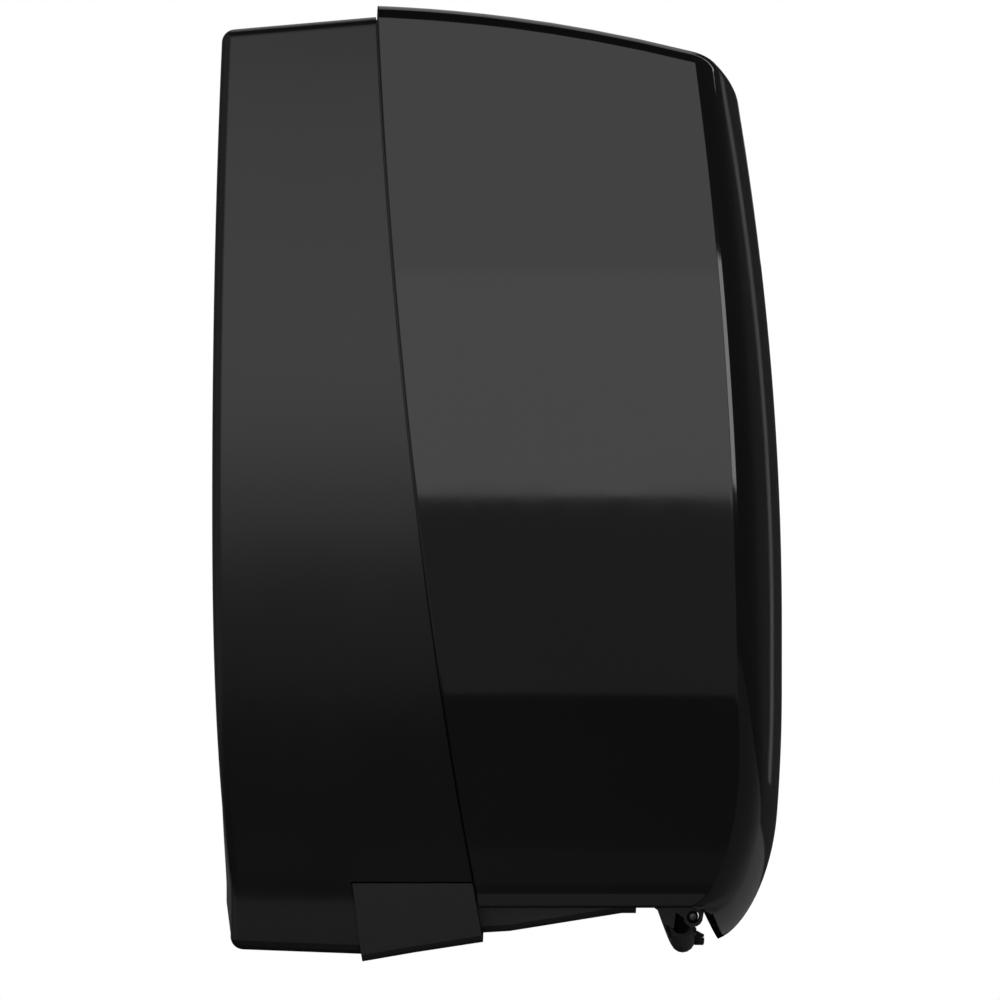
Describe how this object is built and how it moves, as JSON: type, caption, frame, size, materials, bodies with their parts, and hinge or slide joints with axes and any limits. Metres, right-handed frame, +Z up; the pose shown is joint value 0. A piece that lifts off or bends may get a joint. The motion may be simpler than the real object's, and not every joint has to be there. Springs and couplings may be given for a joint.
{
  "type": "wall mounted roll towel dispenser",
  "caption": "Wall mounted dispenser for a roll of paper towel, with a curved gloss cover that swings down, roll holder, roller drive and curved tear bar.",
  "frame": {"origin": "on the wall face, at the middle of the width and near mid height", "axes": "+Z up, -Y out of the wall towards the user, +X to the user's right"},
  "size_m": [0.332, 0.218, 0.3782],
  "materials": {
    "satin_black": "fine satin moulding grain",
    "gloss_black": "polished, piano black",
    "chassis_black": "fine moulding grain",
    "grey_plastic": "plain moulded",
    "gear_plastic": "plain moulded acetal",
    "rubber": "ground",
    "steel": "drawn bar",
    "spring_steel": "drawn wire",
    "bronze": "sintered bush",
    "zinc": "plated die casting"
  },
  "bodies": {
    "housing": {"rear_housing": "satin_black", "lower_chassis": "chassis_black", "hinge_pin_left": "steel", "hinge_pin_right": "steel", "side_frame_left": "chassis_black", "side_frame_right": "chassis_black", "paper_chute": "chassis_black", "tear_bar": "chassis_black", "serrated_blade": "chassis_black", "guide_rod": "steel", "drive_bush_left": "bronze", "drive_bush_right": "bronze", "pinch_pivot_rod": "steel", "roll_arm_bracket": "grey_plastic", "roll_arm_right": "grey_plastic", "roll_arm_pivot_pin": "steel", "roll_arm_spring": "spring_steel", "hub_pin_right": "steel", "arm_screw_1": "steel", "arm_screw_2": "steel", "arm_screw_3": "steel", "arm_screw_4": "steel", "lock_catch": "chassis_black"},
    "cover": {"front_cover": "gloss_black", "lock_bezel": "zinc"},
    "lock": {"lock_barrel": "zinc", "lock_cam": "zinc"},
    "drive": {"drive_shaft": "steel", "drive_roller": "grey_plastic", "grip_sleeve_1": "rubber", "grip_sleeve_2": "rubber", "grip_sleeve_3": "rubber", "drive_gear": "gear_plastic", "feed_wheel": "grey_plastic"},
    "pinch_frame": {"pinch_arm_left": "grey_plastic", "pinch_arm_right": "grey_plastic", "pinch_cross_bar": "grey_plastic", "pinch_spring_left": "spring_steel", "pinch_spring_right": "spring_steel"},
    "pinch": {"pinch_shaft": "steel", "pinch_roller": "grey_plastic", "pinch_gear": "gear_plastic"},
    "left_arm": {"roll_arm_left": "grey_plastic", "hub_pin_left": "steel"},
    "left_hub": {"core_hub_left": "grey_plastic"},
    "right_hub": {"core_hub_right": "grey_plastic"}
  },
  "joints": [
    {"name": "cover_hinge", "type": "hinge", "parent": "housing", "child": "cover", "pos_m": [0, -0.118, -0.138], "axis": [1, 0, 0], "range_deg": [0, 95]},
    {"name": "lock_turn", "type": "hinge", "parent": "cover", "child": "lock", "pos_m": [0, -0.088, 0.18471], "axis": [0, -0.0985, 0.9951], "range_deg": [0, 90]},
    {"name": "drive_spin", "type": "hinge", "parent": "housing", "child": "drive", "pos_m": [0, -0.124, -0.112], "axis": [1, 0, 0], "continuous": true},
    {"name": "pinch_swing", "type": "hinge", "parent": "housing", "child": "pinch_frame", "pos_m": [0, -0.1392, -0.0788], "axis": [1, 0, 0], "range_deg": [-6, 0], "stiffness_Nm_per_rad": 1, "springref_deg": 17.19},
    {"name": "pinch_spin", "type": "hinge", "parent": "pinch_frame", "child": "pinch", "pos_m": [0, -0.1481, -0.1032], "axis": [1, 0, 0], "continuous": true},
    {"name": "left_arm_swing", "type": "hinge", "parent": "housing", "child": "left_arm", "pos_m": [-0.1105, -0.014, 0.06], "axis": [0, 0, -1], "range_deg": [0, 20], "stiffness_Nm_per_rad": 0.5, "springref_deg": -11.46},
    {"name": "left_hub_spin", "type": "hinge", "parent": "left_arm", "child": "left_hub", "pos_m": [-0.096, -0.109, 0.06], "axis": [1, 0, 0], "continuous": true},
    {"name": "right_hub_spin", "type": "hinge", "parent": "housing", "child": "right_hub", "pos_m": [0.096, -0.109, 0.06], "axis": [1, 0, 0], "continuous": true}
  ],
  "couplings": [
    {"joint": "pinch_spin", "follows": "drive_spin", "ratio": -1.7778}
  ]
}
